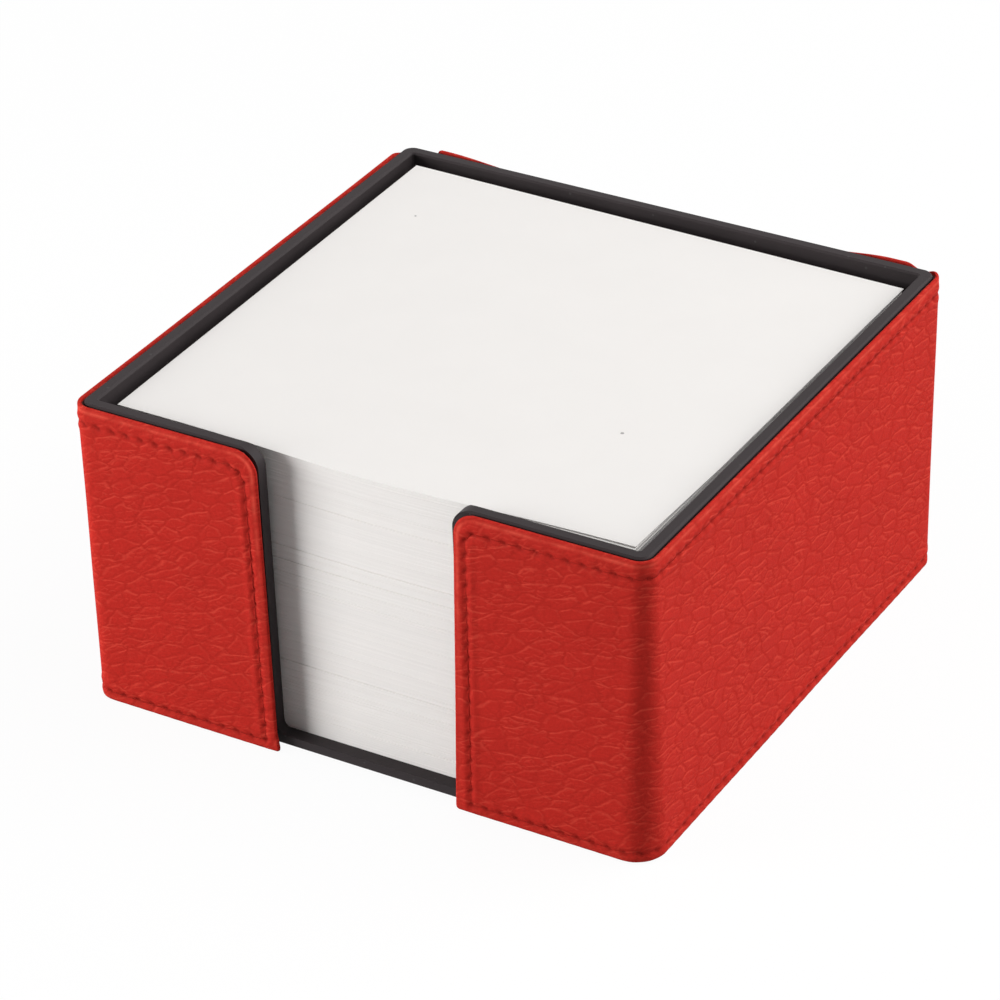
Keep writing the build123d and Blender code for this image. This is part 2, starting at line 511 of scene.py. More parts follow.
def raised(bench: NodeBench, height: Socket, reach: float) -> Socket:
    """Gives the normal of a surface raised by a height, where a height of 1 reaches so many metres."""
    return bench.add("ShaderNodeBump", {"Distance": reach, "Height": height}).outputs["Normal"]


@dataclass(frozen=True)
class GrainNet:
    """How one net of creases runs: its closeness, its creases' width and waver, and its lips' step."""

    scale: float
    width: float
    waver: float
    step: float


@dataclass(frozen=True)
class LeatherFinish:
    """Red grained leather: flat wide plates, fine creases with painted shade and painted highlights on their
    lower lips, pores, and a painted highlight along the edges.
    """

    red: Colour = (0.520, 0.0252, 0.0178, 1.0)
    # Colour of the painted highlights on the crease lips and along the edges.
    lip_red: Colour = (0.78, 0.086, 0.055, 1.0)
    # Colour of the painted shade in the needle holes.
    hole_red: Colour = (0.22, 0.010, 0.007, 1.0)
    plate_shape: tuple[float, ...] = (1.58, 0.80, 1.0)
    large_net: GrainNet = GrainNet(scale=37.0, width=0.18, waver=0.028, step=0.0032)
    small_net: GrainNet = GrainNet(scale=76.0, width=0.24, waver=0.015, step=0.0026)
    small_net_range: tuple[float, float] = (0.70, 1.15)
    small_crease_share: float = 0.5
    small_lip_share: float = 0.60
    lip_range: tuple[float, float] = (0.60, 1.26)
    lip_share: float = 0.57
    # Least strength of the painted edge highlight where the lip highlights are weak.
    least_rub: float = 0.25
    # How much darker the creases are painted, as painted shade.
    crease_shade: float = 0.065
    crease_dullness: float = 0.10
    relief: float = 0.022 * MM
    roughness: float = 0.62
    specular: float = 0.035

    def material(self) -> bpy.types.Material:
        """Builds the material, which reads the strip's flat places, the painted shade of its needle holes and
        the painted highlight along its edges.

        Returns:
            The material.
        """
        material, bench, shader = new_material("red_grained_leather")
        flat = bench.add("ShaderNodeUVMap", uv_map="strip").outputs["UV"]
        wide = bench.add(
            "ShaderNodeMapping", {"Vector": flat, "Scale": self.plate_shape}, vector_type="TEXTURE"
        )
        places = wide.outputs["Vector"]
        large, large_lip_highlight = CREASE_NET.place(bench, places, **asdict(self.large_net))
        small, small_lip_highlight = CREASE_NET.place(bench, places, **asdict(self.small_net))
        patches = BROAD_TONE.place(bench, places, scale=17.0, spread=2.0)[0]
        some = bench.ramp(patches, *self.small_net_range)
        swell = BROAD_TONE.place(bench, flat, scale=30.0, spread=2.0)[0]
        strong = bench.ramp(swell, *self.lip_range)
        fainter = bench.sum_up("MULTIPLY", bench.sum_up("MULTIPLY", small, some), self.small_crease_share)
        crease = bench.sum_up("ADD", large, fainter)
        faint_lip_highlight = bench.sum_up("MULTIPLY", bench.sum_up("MULTIPLY", small_lip_highlight, some), self.small_lip_share)
        # The crease lips get a painted highlight, as if lit from above, broken up by a soft noise.
        lip_highlight = bench.sum_up("MULTIPLY", bench.sum_up("MAXIMUM", large_lip_highlight, faint_lip_highlight), strong)
        pores = FINE_TOOTH.place(bench, flat, scale=330.0, depth=1.7)[0]
        height = bench.sum_up("SUBTRACT", pores, crease)
        # A painted highlight along the edges, stronger where the lip highlights are strong.
        edge_light_gain = bench.sum_up("ADD", strong, self.least_rub)
        edge_light = bench.sum_up("MULTIPLY", bench.attribute("painted_edge_highlight"), edge_light_gain)
        # Painted light: the stronger of the lip highlight and the edge highlight.
        light = bench.sum_up("MAXIMUM", bench.sum_up("MULTIPLY", lip_highlight, self.lip_share), edge_light)
        # Painted highlights: the crease lips and the edges are mixed towards a lighter red.
        red_with_highlights = bench.blend(light, self.red, self.lip_red)
        tone = BROAD_TONE.place(bench, flat, scale=9.0, spread=0.16)[0]
        speckle = BROAD_TONE.place(bench, flat, scale=190.0, spread=0.34)[0]
        # The creases are painted darker: painted shade in the creases.
        painted_crease_shade = bench.sum_up("SUBTRACT", 1.0, bench.sum_up("MULTIPLY", crease, self.crease_shade))
        mottled = bench.sum_up("MULTIPLY", tone, speckle)
        toned = bench.shade(red_with_highlights, bench.sum_up("MULTIPLY", mottled, painted_crease_shade))
        dull = bench.sum_up("MULTIPLY", crease, self.crease_dullness)
        bench.feed(
            shader,
            {
                # The needle holes are painted darker: painted shade in their dents.
                "Base Color": bench.blend(bench.attribute("needle_hole_shade"), toned, self.hole_red),
                "Roughness": bench.sum_up("ADD", dull, self.roughness),
                "Specular IOR Level": self.specular,
                "Normal": raised(bench, height, self.relief),
            },
        )
        return material


@dataclass(frozen=True)
class ThreadFinish:
    """Red sewing thread of two twisted plies, painted darker in the furrows between them as painted shade."""

    red: Colour = (0.52, 0.025, 0.017, 1.0)
    furrow_red: Colour = (0.40, 0.018, 0.012, 1.0)
    twist: float = 0.7
    relief: float = 0.03 * MM
    roughness: float = 0.65
    specular: float = 0.05

    def material(self) -> bpy.types.Material:
        """Builds the material, which reads the places along and round each stitch.

        Returns:
            The material.
        """
        material, bench, shader = new_material("red_sewing_thread")
        flat = bench.add("ShaderNodeUVMap", uv_map="ply").outputs["UV"]
        slant = bench.add("ShaderNodeMapping", {"Vector": flat, "Rotation": (0.0, 0.0, self.twist)})
        plies = bench.add(
            "ShaderNodeTexWave",
            {"Vector": slant.outputs["Vector"], "Scale": 2.2, "Distortion": 0.6, "Detail": 1.0},
        ).outputs["Fac"]
        fuzz = FINE_TOOTH.place(bench, flat, scale=30.0, depth=0.4)[0]
        bench.feed(
            shader,
            {
                # The furrows between the plies are painted darker: painted shade.
                "Base Color": bench.blend(plies, self.furrow_red, self.red),
                "Roughness": self.roughness,
                "Specular IOR Level": self.specular,
                "Normal": raised(bench, bench.sum_up("ADD", plies, fuzz), self.relief),
            },
        )
        return material


@dataclass(frozen=True)
class PlasticFinish:
    """Black moulded plastic with a satin skin and a little dust."""

    black: Colour = (0.0405, 0.0333, 0.0347, 1.0)
    dust_grey: Colour = (0.075, 0.070, 0.070, 1.0)
    dust_share: float = 0.5
    relief: float = 0.012 * MM
    roughness: float = 0.50
    specular: float = 0.09

    def material(self) -> bpy.types.Material:
        """Builds the material.

        Returns:
            The material.
        """
        material, bench, shader = new_material("satin_black_plastic")
        places = bench.add("ShaderNodeTexCoord").outputs["Object"]
        tone = BROAD_TONE.place(bench, places, scale=60.0, spread=0.5)[0]
        dust = SPECKS.place(bench, places, scale=900.0, size=0.22, share=0.05)[0]
        dusted = bench.sum_up("MULTIPLY", dust, self.dust_share)
        tooth = FINE_TOOTH.place(bench, places, scale=2600.0, depth=1.0)[0]
        bench.feed(
            shader,
            {
                "Base Color": bench.shade(bench.blend(dusted, self.black, self.dust_grey), tone),
                "Roughness": bench.sum_up("MULTIPLY", tone, self.roughness),
                "Specular IOR Level": self.specular,
                "Normal": raised(bench, tooth, self.relief),
            },
        )
        return material


@dataclass(frozen=True)
class PaperFinish:
    """White uncoated paper: a faint cloudy formation, a fine tooth and a few fibres."""

    white: Colour = (0.905, 0.879, 0.856, 1.0)
    speck_grey: Colour = (0.44, 0.42, 0.41, 1.0)
    relief: float = 0.010 * MM
    roughness: float = 0.85
    specular: float = 0.2

    def material(self) -> bpy.types.Material:
        """Builds the material, which reads how light each leaf is.

        Returns:
            The material.
        """
        material, bench, shader = new_material("white_note_paper")
        places = bench.add("ShaderNodeTexCoord").outputs["Object"]
        cloud = BROAD_TONE.place(bench, places, scale=95.0, spread=0.03)[0]
        fibres = SPECKS.place(bench, places, scale=110.0, size=0.035, share=0.10)[0]
        flecked = bench.blend(fibres, self.white, self.speck_grey)
        tone = bench.sum_up("MULTIPLY", cloud, bench.attribute("leaf_tone"))
        tooth = FINE_TOOTH.place(bench, places, scale=1500.0, depth=1.0)[0]
        bench.feed(
            shader,
            {
                "Base Color": bench.shade(flecked, tone),
                "Roughness": self.roughness,
                "Specular IOR Level": self.specular,
                "Normal": raised(bench, tooth, self.relief),
            },
        )
        return material


@dataclass(frozen=True)
class DullFinish:
    """A dull filler: fibre board, set glue or a foam pad."""

    name: str
    colour: Colour
    tooth_scale: float
    relief: float
    roughness: float
    pit_share: float = 0.7
    specular: float = 0.3

    def material(self) -> bpy.types.Material:
        """Builds the material.

        Returns:
            The material.
        """
        material, bench, shader = new_material(self.name)
        places = bench.add("ShaderNodeTexCoord").outputs["Object"]
        tone = BROAD_TONE.place(bench, places, scale=130.0, spread=0.35)[0]
        tooth = FINE_TOOTH.place(bench, places, scale=self.tooth_scale, depth=1.0)[0]
        pits = tuple(self.pit_share * part for part in self.colour[:3]) + (1.0,)
        bench.feed(
            shader,
            {
                "Base Color": bench.shade(bench.blend(tooth, self.colour, pits), tone),
                "Roughness": self.roughness,
                "Specular IOR Level": self.specular,
                "Normal": raised(bench, tooth, self.relief),
            },
        )
        return material


@dataclass(frozen=True)
class NeedleHole:
    """One hole of the seam, on the flat strip, and the way that the seam runs there."""

    along: float
    height: float
    way_along: float
    way_up: float

    def run_and_gap(self, along: float, height: float) -> Flat:
        """Gives how far a place on the strip lies from the hole.

        Args:
            along: length along the strip.
            height: height above the desk.

        Returns:
            The distance along the seam and the distance across it.
        """
        right = along - self.along
        up = height - self.height
        return right * self.way_along + up * self.way_up, up * self.way_along - right * self.way_up


@dataclass(frozen=True)
class BackCorner:
    """How the strip's top edge runs towards a back corner, by distances from the middle of the back.

    It flares up by a height, is pulled down where it turns the corner, and settles on the side.
    """

    flare: float
    flares: Flat
    turns: Flat
    settles: Flat


@dataclass
class LeatherCover:
    """The leather strip, from the notch's right side round the back to its left side.

    Lengths along the strip are counted on its outer face from the middle of the notch, to the right
    round the box. Heights are above the desk.
    """

    thickness: float = 0.55 * MM
    corner_radius: float = 3.5 * MM
    corner_radius_top: float = 2.9 * MM
    corner_radii_foot: tuple[float, ...] = (5.0 * MM, 4.3 * MM, 4.0 * MM, 3.6 * MM)
    right_edge_foot: float = 16.60 * MM
    left_edge_foot: float = 15.70 * MM
    flap_lean: float = math.radians(1.1)
    shoulder: float = 3.8 * MM
    heel: float = 0.7 * MM
    foot_flare: float = 0.40 * MM
    foot_flare_height: float = 4.0 * MM
    edge_roll: float = 0.42 * MM
    edge_roll_share: float = 0.62
    edge_roll_steps: tuple[float, ...] = (0.0, 0.06, 0.2, 0.45, 0.75, 1.1)
    edge_tuck_share: float = 0.2
    border: float = 4.9 * MM
    hem_puff: float = 0.17 * MM
    puff_gap: float = 0.95 * MM
    puff_half_width: float = 0.62 * MM
    pull_share: float = 0.5
    pull_half_width: float = 0.7 * MM
    seam_top: float = 3.0 * MM
    seam_foot: float = 1.7 * MM
    seam_right_top: float = 2.0 * MM
    seam_right_foot: float = 2.8 * MM
    seam_left: float = 2.25 * MM
    seam_cut_right: float = 1.3 * MM
    seam_cut_left: float = 2.6 * MM
    seam_cut_bulge: float = 0.3
    groove_depth: float = 0.05 * MM
    groove_half_width: float = 0.42 * MM
    hole_depth: float = 0.20 * MM
    hole_length: float = 0.58 * MM
    hole_half_width: float = 0.36 * MM
    hole_slant: float = 0.50
    stitch_pitch: float = 2.65 * MM
    slackness: float = 0.10 * MM
    slack_scale: Flat = (38.0, 52.0)
    slack_layer: float = 2.7
    # The painted highlight along the strip's edges: its strength, its share at the foot, how fast it grows
    # towards the top, its distance in from the edge and its half width.
    wear: float = 0.75
    wear_at_foot: float = 0.15
    wear_power: int = 3
    wear_gap: float = 0.75 * MM
    wear_half_width: float = 0.30 * MM
    grain_per_metre: float = 10.0
    grain_closeness: tuple[float, ...] = (1.05, 0.90, 1.0, 1.0, 1.05)
    grain_slope: tuple[float, ...] = (0.28, -0.25, 0.10, 0.10, 0.34)
    fine_step: float = 0.26 * MM
    row_step: float = 0.62 * MM
    column_step: float = 0.47 * MM
    back_dip: float = 0.85 * MM
    corner_dip: float = 1.1 * MM
    top_bend: float = 14.0 * MM
    back_left: BackCorner = BackCorner(
        flare=1.05 * MM,
        flares=(25.0 * MM, 42.0 * MM),
        turns=(43.2 * MM, 44.2 * MM),
        settles=(50.0 * MM, 54.0 * MM),
    )
    back_right: BackCorner = BackCorner(
        flare=1.10 * MM,
        flares=(28.0 * MM, 41.0 * MM),
        turns=(43.5 * MM, 47.0 * MM),
        settles=(45.6 * MM, 49.6 * MM),
    )
    finish: LeatherFinish = LeatherFinish()
    low: Vector = field(init=False)
    high: Vector = field(init=False)

    def __post_init__(self) -> None:
        """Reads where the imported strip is."""
        low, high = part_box("cover_skin")
        self.low = Vector(low)
        self.high = Vector(high)

    @property
    def half(self) -> float:
        """Half the strip's outside width."""
        return (self.high.x - self.low.x) / 2.0

    @property
    def straight(self) -> float:
        """The length of a straight side between two corners."""
        return 2.0 * (self.half - self.corner_radius)

    @property
    def side(self) -> float:
        """The length of a straight side and one corner."""
        return self.straight + self.corner_radius * math.pi / 2.0

    @property
    def around(self) -> float:
        """The length all the way round the box."""
        return 4.0 * self.side

    @property
    def mid_height(self) -> float:
        """The height halfway up the strip."""
        return (self.low.z + self.high.z) / 2.0

    def right_edge(self, height: float) -> float:
        """Gives the length along at the edge right of the notch, before its corners are rounded."""
        return self.right_edge_foot + math.tan(self.flap_lean) * (height - self.low.z)

    def left_edge(self, height: float) -> float:
        """Gives the length along at the edge left of the notch, before its corners are rounded.

        Args:
            height: height above the desk.

        Returns:
            The length along the strip.
        """
        above = height - self.low.z
        flare = self.foot_flare * (1.0 - smooth_step(0.0, self.foot_flare_height, above))
        return self.around - self.left_edge_foot - math.tan(self.flap_lean) * above + flare

    def corner_gaps(self, height: float) -> tuple[Flat, Flat]:
        """Gives the distance to the top edge and its corner radius, and the same for the foot."""
        return (self.high.z - height, self.shoulder), (height - self.low.z, self.heel)

    def corner_trim(self, height: float) -> float:
        """Gives how far the rounded corners pull the strip's ends back at a height.

        Args:
            height: height above the desk.

        Returns:
            A length, 0 between the corners.
        """
        trim = 0.0
        for gap, radius in self.corner_gaps(height):
            if gap < radius:
                trim = max(trim, radius - math.sqrt(max(radius**2 - (radius - gap) ** 2, 0.0)))
        return trim

    def inset(self, along: float, height: float) -> float:
        """Gives the distance of a place on the strip from the strip's nearest edge.

        Args:
            along: length along the strip.
            height: height above the desk.

        Returns:
            The distance, in metres.
        """
        end = min(along - self.right_edge(height), self.left_edge(height) - along) * math.cos(self.flap_lean)
        nearest = end
        for gap, radius in self.corner_gaps(height):
            if gap < radius and end < radius:
                nearest = min(nearest, radius - math.hypot(radius - gap, radius - end))
            else:
                nearest = min(nearest, gap)
        return max(nearest, 0.0)

    def spot(self, along: float, height: float) -> tuple[Vector, Vector]:
        """Finds a place on the strip's even outer face, whose corners are tighter at the top.

        Args:
            along: length along the strip.
            height: height above the desk.

        Returns:
            The point and the direction out of the face.
        """
        quarter = math.floor(along / self.side)
        share = (height - self.low.z) / (self.high.z - self.low.z)
        foot_radius = self.corner_radii_foot[quarter]
        radius = foot_radius + (self.corner_radius_top - foot_radius) * share
        reach = self.half - radius
        half_arc = radius * math.pi / 4.0
        from_corner = (along - quarter * self.side - self.side / 2.0) * (reach + half_arc) / (self.side / 2.0)
        if from_corner <= -half_arc:
            out = Vector((0.0, -1.0, 0.0))
            point = Vector((reach + half_arc + from_corner, -self.half, height))
        elif from_corner >= half_arc:
            out = Vector((1.0, 0.0, 0.0))
            point = Vector((self.half, from_corner - half_arc - reach, height))
        else:
            turn = math.pi / 4.0 + from_corner / radius
            out = Vector((math.sin(turn), -math.cos(turn), 0.0))
            point = Vector((reach, -reach, height)) + out * radius
        facing = Matrix.Rotation(quarter * math.pi / 2.0, 3, "Z")
        return facing @ point, facing @ out

    def rise(self, along: float) -> float:
        """Gives how far the top edge stands above its even line.

        Behind the box the edge flares up near both corners and sags between them, and it is pulled down
        where it turns the two back corners.

        Args:
            along: length along the strip.

        Returns:
            A height, negative where the edge dips.
        """
        leftward = along - self.around / 2.0
        from_middle = abs(leftward)
        corner = self.back_left if leftward > 0.0 else self.back_right
        turning = smooth_step(*corner.turns, from_middle)
        beside = smooth_step(*corner.settles, from_middle)
        flare = corner.flare * smooth_step(*corner.flares, from_middle)
        return (flare - self.back_dip) * (1.0 - turning) - self.corner_dip * turning * (1.0 - beside)

    def place(self, along: float, height: float, out: float) -> Vector:
        """Turns a place on the strip into a point in the frame.

        Args:
            along: length along the strip.
            height: height above the desk, on the even strip.
            out: distance out of the strip's outer face.

        Returns:
            The point, in metres.
        """
        point, direction = self.spot(along, height)
        lift = self.rise(along) * smooth_step(self.high.z - self.top_bend, self.high.z, height)
        return point + direction * out + Vector((0.0, 0.0, lift))

    def grain_place(self, along: float, height: float) -> Flat:
        """Finds a place in the grain's pattern, which runs more closely and more steeply on some sides.

        Args:
            along: length along the strip.
            height: height above the desk.

        Returns:
            The place along and across the grain, in the pattern's own unit.
        """
        reached = 0.0
        climbed = 0.0
        start = 0.0
        for number, (closeness, slope) in enumerate(zip(self.grain_closeness, self.grain_slope)):
            corner = (number + 0.5) * self.side
            run = min(max(along, start), corner) - start
            reached += closeness * run
            climbed += slope * run
            start = corner
        return reached * self.grain_per_metre, (height - climbed) * self.grain_per_metre

    def needle_holes(self) -> list[Flat]:
        """Lists the seam's needle holes round the seam in order.

        Returns:
            The length along and the height of each hole.
        """
        foot = self.low.z + self.seam_foot
        top = self.high.z - self.seam_top
        right_below = top - self.seam_cut_right
        left_below = top - self.seam_cut_left
        left_top = self.left_edge(top) - self.seam_left
        bulge = self.seam_cut_bulge * self.seam_cut_left
        corners = [
            (self.right_edge(foot) + self.seam_right_foot, foot),
            (self.left_edge(foot) - self.seam_left, foot),
            (self.left_edge(left_below) - self.seam_left, left_below),
            (left_top - bulge, top - bulge),
            (left_top - self.seam_cut_left, top),
            (self.right_edge(top) + self.seam_right_top + self.seam_cut_right, top),
            (self.right_edge(right_below) + self.seam_right_top, right_below),
        ]
        holes: list[Flat] = []
        for corner, following in in_turn(corners):
            count = max(round(math.dist(corner, following) / self.stitch_pitch), 1)
            for number in range(count):
                share = number / count
                holes.append(tuple(a + (b - a) * share for a, b in zip(corner, following)))
        return holes

    def seam_finder(self) -> tuple[kdtree.KDTree, list[NeedleHole]]:
        """Prepares to look up the nearest point of the seam.

        Returns:
            A finder of points along the seam, and for each point its nearest needle hole.
        """
        holes = self.needle_holes()
        points: list[tuple[float, float, float]] = []
        nearest: list[NeedleHole] = []
        for hole, following in in_turn(holes):
            run = math.dist(hole, following)
            way = ((following[0] - hole[0]) / run, (following[1] - hole[1]) / run)
            count = max(round(run / (0.5 * self.fine_step)), 1)
            for number in range(count):
                share = number / count
                points.append((hole[0] + way[0] * run * share, hole[1] + way[1] * run * share, 0.0))
                nearest.append(NeedleHole(*(hole if share < 0.5 else following), *way))
        finder = kdtree.KDTree(len(points))
        for number, point in enumerate(points):
            finder.insert(point, number)
        finder.balance()
        return finder, nearest

    def relief(self, along: float, height: float, seam_gap: float, hole: NeedleHole) -> float:
        """Gives how far the leather stands out of the even outer face.

        Args:
            along: length along the strip.
            height: height above the desk.
            seam_gap: distance from the seam.
            hole: the nearest needle hole.

        Returns:
            A distance, negative where the leather lies deeper.
        """
        turned = max(self.edge_roll - self.inset(along, height), 0.0) / self.edge_roll
        roll = -self.edge_roll_share * self.thickness * (1.0 - math.sqrt(1.0 - turned**2))
        pulled = self.pull_share * hump(0.0, self.pull_half_width, hole.run_and_gap(along, height)[0])
        puff = self.hem_puff * hump(self.puff_gap, self.puff_half_width, seam_gap) * (1.0 - pulled)
        groove = -self.groove_depth * hump(0.0, self.groove_half_width, seam_gap)
        wave = Vector((along * self.slack_scale[0], height * self.slack_scale[1], self.slack_layer))
        loose = noise.noise(wave) * self.slackness
        return roll + puff + groove - self.hole_depth * self.pricked(along, height, hole) + loose

    def pricked(self, along: float, height: float, hole: NeedleHole) -> float:
        """Gives 1 in the middle of a needle hole's slanting dent and 0 away from it."""
        run, gap = hole.run_and_gap(along, height)
        return hump(0.0, self.hole_length, run) * hump(0.0, self.hole_half_width, gap + self.hole_slant * run)

    def worn(self, along: float, height: float) -> float:
        """Gives how strongly a place gets the painted highlight along the strip's top hem and its ends, which
        grows towards the top.

        Args:
            along: length along the strip.
            height: height above the desk.

        Returns:
            A number from 0 to 1.
        """
        share = smooth_step(self.low.z, self.high.z, height) ** self.wear_power
        most = self.wear * (self.wear_at_foot + (1.0 - self.wear_at_foot) * share)
        return most * hump(self.wear_gap, self.wear_half_width, self.inset(along, height))

    def border_steps(self) -> list[float]:
        """Lists the distances from an edge at which a border has points.

        Returns:
            The distances, in order.
        """
        roll = [share * self.edge_roll for share in self.edge_roll_steps]
        count = round((self.border - roll[-1]) / self.fine_step)
        step = (self.border - roll[-1]) / count
        return roll + [roll[-1] + step * number for number in range(1, count + 1)]

    def spaced(self, start: float, finish: float, step: float) -> list[float]:
        """Lists places from a start to a finish, close together near both.

        Args:
            start: the first place.
            finish: the last place.
            step: about how far apart they are away from both.

        Returns:
            The places, in order.
        """
        border = self.border_steps()
        run = finish - start - 2.0 * border[-1]
        count = round(run / step)
        between = [border[-1] + run * number / count for number in range(1, count)]
        gaps = border + between + [finish - start - gap for gap in reversed(border)]
        return [start + gap for gap in gaps]

    def rows(self) -> list[float]:
        """Lists the heights of the strip's rows."""
        return self.spaced(self.low.z, self.high.z, self.row_step)

    def columns(self) -> list[float]:
        """Lists the lengths along of the strip's columns at half its height."""
        middle = self.mid_height
        return self.spaced(self.right_edge(middle), self.left_edge(middle), self.column_step)

    def column_at(self, nominal: float, height: float) -> float:
        """Gives a column's length along at a height, since columns near the ends lean with the ends.

        Args:
            nominal: the column's length along at half height.
            height: height above the desk.

        Returns:
            The length along.
        """
        middle = self.mid_height
        anchor = self.straight / 2.0
        if nominal < anchor:
            edge = self.right_edge(height) + self.corner_trim(height)
            share = (anchor - nominal) / (anchor - self.right_edge(middle))
            return anchor - share * (anchor - edge)
        anchor = self.around - self.straight / 2.0
        if nominal > anchor:
            edge = self.left_edge(height) - self.corner_trim(height)
            share = (nominal - anchor) / (self.left_edge(middle) - anchor)
            return anchor + share * (edge - anchor)
        return nominal

    def back_corners(self, wide: int, tall: int) -> list[list[int]]:
        """Lists the faces of the strip's back, which has points behind the outer face's rim alone.

        Args:
            wide: how many columns the outer face has.
            tall: how many rows it has.

        Returns:
            For each face, the rim's points that its corners lie behind.
        """
        foot = [column * tall for column in range(wide)]
        top = [column * tall + tall - 1 for column in range(wide)]
        near_end = list(range(1, tall - 1))
        far_end = [(wide - 1) * tall + row for row in range(tall - 2, 0, -1)]
        faces = [[top[here], top[here + 1], foot[here + 1], foot[here]] for here in range(1, wide - 2)]
        faces.append([top[0], top[1], foot[1], foot[0]] + near_end)
        faces.append([top[-2], top[-1]] + far_end + [foot[-1], foot[-2]])
        return faces

    def build(self) -> None:
        """Builds the strip: its outer face with hem, seam and needle holes, its turned edges and its back."""
        finder, holes = self.seam_finder()
        rows = self.rows()
        columns = self.columns()
        points: list[Vector] = []
        flat: list[Flat] = []
        pricked: list[float] = []
        worn: list[float] = []
        for nominal in columns:
            for height in rows:
                along = self.column_at(nominal, height)
                _, number, seam_gap = finder.find((along, height, 0.0))
                out = self.relief(along, height, seam_gap, holes[number])
                points.append(self.place(along, height, out))
                flat.append((along, height))
                # The dent's depth is kept as painted shade for the needle holes.
                pricked.append(self.pricked(along, height, holes[number]))
                # Painted highlight along the edges, kept for the material.
                worn.append(self.worn(along, height))
        wide = len(columns)
        tall = len(rows)
        faces = grid_faces(wide, tall)
        rim = grid_rim(wide, tall)
        behind: dict[int, int] = {}
        tuck = self.edge_tuck_share * self.thickness
        for number in rim:
            along, height = flat[number]
            height += tuck * ((height < self.low.z + self.heel) - (height > self.high.z - self.shoulder))
            along += tuck * ((number < tall) - (number >= (wide - 1) * tall))
            behind[number] = len(points)
            points.append(self.place(along, height, -self.thickness))
            flat.append((along, height))
            pricked.append(0.0)
            worn.append(0.0)
        for number, following in in_turn(rim):
            faces.append([following, number, behind[number], behind[following]])
        for corners in self.back_corners(wide, tall):
            faces.append([behind[number] for number in corners])
        strip = make_piece("leather_strip", points, faces, self.finish.material())
        note_flat_places(strip, "strip", [self.grain_place(*place) for place in flat])
        # The dents are painted dark as shade in the needle holes.
        note_values(strip, "needle_hole_shade", pricked)
        # The edges get a painted highlight.
        note_values(strip, "painted_edge_highlight", worn)
        join_body(strip, Body.BOX, Slot.LEATHER, "cover_skin")


@dataclass
class SeamStitches:
    """The seam's stitches, each a short arch of thread from one needle hole to the next."""

    cover: LeatherCover
    thread_radius: float = 0.20 * MM
    ride_height: float = -0.16 * MM
    plunge: float = 0.36 * MM
    plunge_power: int = 4
    end_taper: float = 0.35
    taper_power: int = 6
    look_ahead: float = 0.02
    ply_length: float = 6.0
    ring_count: int = 9
    ring_points: int = 8
    finish: ThreadFinish = ThreadFinish()

    def build(self) -> None:
        """Builds all the stitches as one piece."""
        points: list[Vector] = []
        flat: list[Flat] = []
        faces: list[list[int]] = []
        for hole, following in in_turn(self.cover.needle_holes()):
            self.add_stitch(hole, following, points, flat, faces)
        seam = make_piece("seam_stitches", points, faces, self.finish.material())
        note_flat_places(seam, "ply", flat)
        join_body(seam, Body.BOX, Slot.THREAD, "seam_thread")

    def add_stitch(
        self,
        hole: Flat,
        following: Flat,
        points: list[Vector],
        flat: list[Flat],
        faces: list[list[int]],
    ) -> None:
        """Adds one stitch to the lists of points and faces.

        Args:
            hole: where the thread comes up, as length along and height.
            following: where it goes down.
            points: the vertices so far.
            flat: the place of each vertex along and round its stitch.
            faces: the faces so far.
        """
        first = len(points)
        run = following[0] - hole[0]
        climb = following[1] - hole[1]
        for ring in range(self.ring_count):
            share = ring / (self.ring_count - 1)
            along = hole[0] + run * share
            height = hole[1] + climb * share
            reach = abs(2.0 * share - 1.0)
            out = self.ride_height - self.plunge * reach**self.plunge_power
            radius = self.thread_radius * (1.0 - self.end_taper * reach**self.taper_power)
            middle = self.cover.place(along, height, out)
            ahead = self.cover.place(along + run * self.look_ahead, height + climb * self.look_ahead, out)
            outward = self.cover.spot(along, height)[1]
            sideways = outward.cross(ahead - middle).normalized()
            for corner in range(self.ring_points):
                angle = 2.0 * math.pi * corner / self.ring_points
                points.append(middle + (outward * math.cos(angle) + sideways * math.sin(angle)) * radius)
                flat.append((share * self.ply_length, corner / self.ring_points))
        count = self.ring_points
        for ring in range(self.ring_count - 1):
            for corner in range(count):
                after = (corner + 1) % count
                here = first + ring * count
                faces.append([here + corner, here + after, here + count + after, here + count + corner])
        last = first + (self.ring_count - 1) * count
        faces.append([first + corner for corner in reversed(range(count))])
        faces.append([last + corner for corner in range(count)])


@dataclass
class LiningBoard:
    """The fibre board behind the leather, which follows its bends."""

    cover: LeatherCover
    gap: float = 0.02 * MM
    thickness: float = 0.33 * MM
    setback: float = 0.6 * MM
    row_count: int = 12
    finish: DullFinish = DullFinish("dark_fibre_board", (0.10, 0.035, 0.030, 1.0), 1800.0, 0.03 * MM, 0.9)

    def build(self) -> None:
        """Builds the lining as one closed sheet."""
        cover = self.cover
        foot = cover.low.z + self.setback
        step = (cover.high.z - self.setback - foot) / (self.row_count - 1)
        rows = [foot + step * number for number in range(self.row_count)]
        columns = cover.columns()[::2]
        front = -cover.thickness - self.gap
        points: list[Vector] = []
        for out in (front, front - self.thickness):
            for nominal in columns:
                for height in rows:
                    trim = cover.corner_trim(height) + self.setback
                    first = cover.right_edge(height) + trim
                    last = cover.left_edge(height) - trim
                    along = min(max(cover.column_at(nominal, height), first), last)
                    points.append(cover.place(along, height, out))
        faces = sheet_faces(len(columns), self.row_count)
        board = make_piece("lining_board", points, faces, self.finish.material())
        join_body(board, Body.BOX, Slot.BOARD, "cover_backing")


